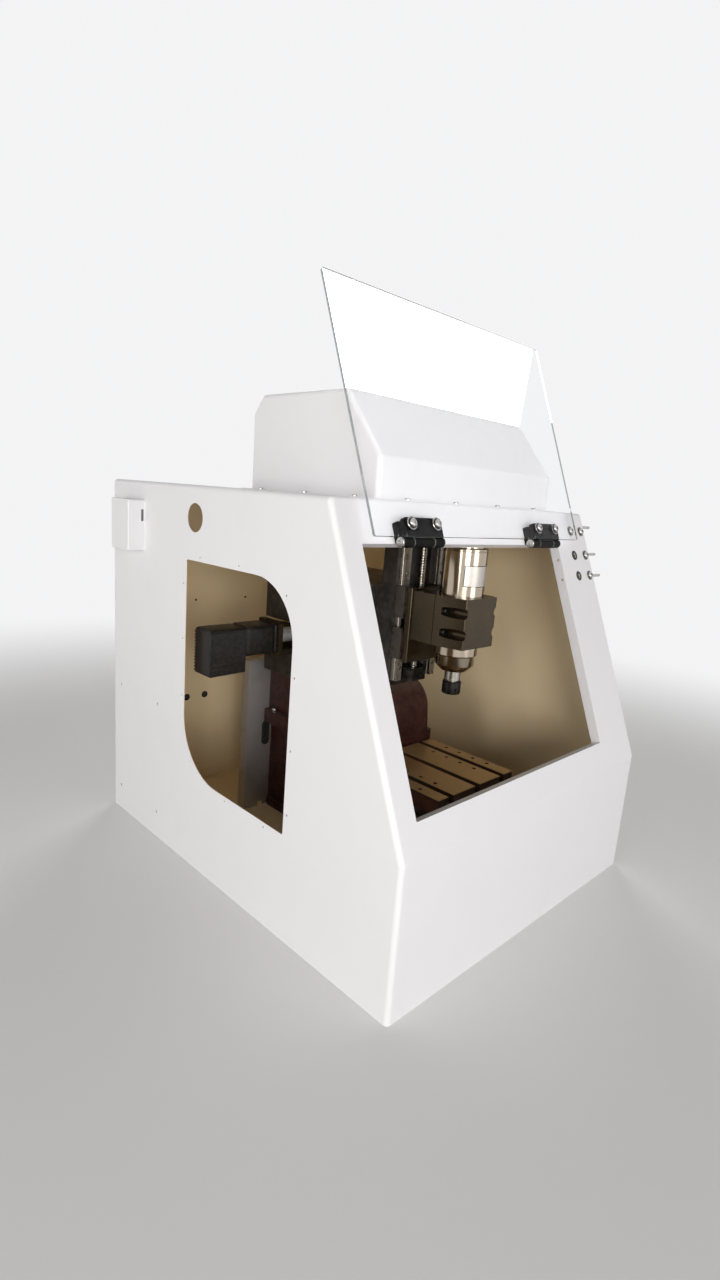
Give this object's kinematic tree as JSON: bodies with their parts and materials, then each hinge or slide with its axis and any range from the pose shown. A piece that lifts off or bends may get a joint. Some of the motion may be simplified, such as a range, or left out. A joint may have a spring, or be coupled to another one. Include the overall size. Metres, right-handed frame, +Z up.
{
  "type": "vertical machining center",
  "caption": "Bench-top vertical machining center: a slotted table, a sliding spindle head and ball screw axes in a white sheet enclosure with a hinged clear door.",
  "frame": {"origin": "middle of the enclosure's footprint, on the bench", "axes": "+X to the right seen from the front, +Y to the back, +Z up"},
  "size_m": [0.777, 0.85, 1.0238],
  "materials": {
    "white_paint": "semi-gloss",
    "clear_acrylic": "clear",
    "black_hinge": "satin",
    "zinc_steel": "zinc plated",
    "red_casting": "painted casting",
    "black_casting": "painted",
    "black_anodised": "anodised",
    "chrome": "polished",
    "ground_steel": "ground",
    "carriage_steel": "satin",
    "black_oxide": "black oxide",
    "aluminium": "turned",
    "motor_black": "satin",
    "stainless_plate": "brushed",
    "rubber": "matt"
  },
  "bodies": {
    "frame": {"left_panel": "white_paint", "right_panel": "white_paint", "front_cover": "white_paint", "top_panel": "white_paint", "rear_panel": "white_paint", "floor_tray": "white_paint", "hood": "white_paint", "hood_screws": "zinc_steel", "margin_screws": "zinc_steel", "side_studs": "zinc_steel", "side_box": "white_paint", "hinge_fixed_leaves": "black_hinge", "hinge_pins": "zinc_steel", "base_casting": "red_casting", "column_casting": "red_casting", "column_bolts": "zinc_steel", "x_beam": "black_casting", "back_plate": "stainless_plate", "cable_grommet": "rubber", "x_rails": "ground_steel", "x_bearings": "black_oxide", "x_motor_bracket": "black_anodised", "x_motor": "motor_black", "y_rails": "ground_steel", "y_bearings": "black_oxide", "y_motor_bracket": "black_anodised", "y_motor": "motor_black"},
    "door": {"door_pane": "clear_acrylic", "hinge_moving_leaves": "black_hinge", "door_bolts": "zinc_steel"},
    "saddle": {"saddle": "black_casting", "x_carriages": "carriage_steel", "x_nut": "carriage_steel", "z_base": "black_casting", "z_rails": "ground_steel", "z_bearings": "black_oxide", "z_motor_bracket": "black_anodised", "z_motor": "motor_black"},
    "head": {"z_carriages": "carriage_steel", "z_nut": "carriage_steel", "z_nut_bracket": "carriage_steel", "head_plate": "black_anodised", "spindle_mount": "black_anodised", "spindle_clamp": "black_anodised", "clamp_screws": "black_oxide", "spindle_body": "chrome", "spindle_cap": "chrome"},
    "spindle": {"spindle_shaft": "ground_steel", "collet": "ground_steel", "collet_nut": "black_oxide"},
    "table": {"table": "ground_steel", "y_carriages": "carriage_steel", "y_nut": "carriage_steel", "y_nut_bracket": "carriage_steel"},
    "x_screw": {"x_ball_screw": "ground_steel", "x_coupling": "aluminium"},
    "y_screw": {"y_ball_screw": "ground_steel", "y_coupling": "aluminium"},
    "z_screw": {"z_ball_screw": "ground_steel", "z_coupling": "aluminium"}
  },
  "joints": [
    {"name": "door_hinge", "type": "hinge", "parent": "frame", "child": "door", "pos_m": [0, -0.2723, 0.65164], "axis": [1, 0, 0], "range_deg": [0, 180]},
    {"name": "x_slide", "type": "slide", "parent": "frame", "child": "saddle", "axis": [1, 0, 0], "range_m": [-0.048, 0.048]},
    {"name": "z_slide", "type": "slide", "parent": "saddle", "child": "head", "axis": [0, 0, 1], "range_m": [-0.04, 0.038]},
    {"name": "y_slide", "type": "slide", "parent": "frame", "child": "table", "axis": [0, 1, 0], "range_m": [-0.1, 0.003]},
    {"name": "spindle_turn", "type": "hinge", "parent": "head", "child": "spindle", "pos_m": [0.014, -0.203, 0.37], "axis": [0, 0, 1], "continuous": true},
    {"name": "x_screw_turn", "type": "hinge", "parent": "frame", "child": "x_screw", "pos_m": [0.014, 0.105, 0.431], "axis": [1, 0, 0], "range_deg": [-3458, 3458]},
    {"name": "y_screw_turn", "type": "hinge", "parent": "frame", "child": "y_screw", "pos_m": [0.014, -0.08, 0.164], "axis": [0, 1, 0], "range_deg": [-218, 7202]},
    {"name": "z_screw_turn", "type": "hinge", "parent": "saddle", "child": "z_screw", "pos_m": [0.014, -0.105, 0.5], "axis": [0, 0, 1], "range_deg": [-2738, 2882]}
  ],
  "couplings": [
    {"joint": "x_screw_turn", "follows": "x_slide", "rad_per_m": -1256.6},
    {"joint": "y_screw_turn", "follows": "y_slide", "rad_per_m": -1256.6},
    {"joint": "z_screw_turn", "follows": "z_slide", "rad_per_m": -1256.6}
  ]
}
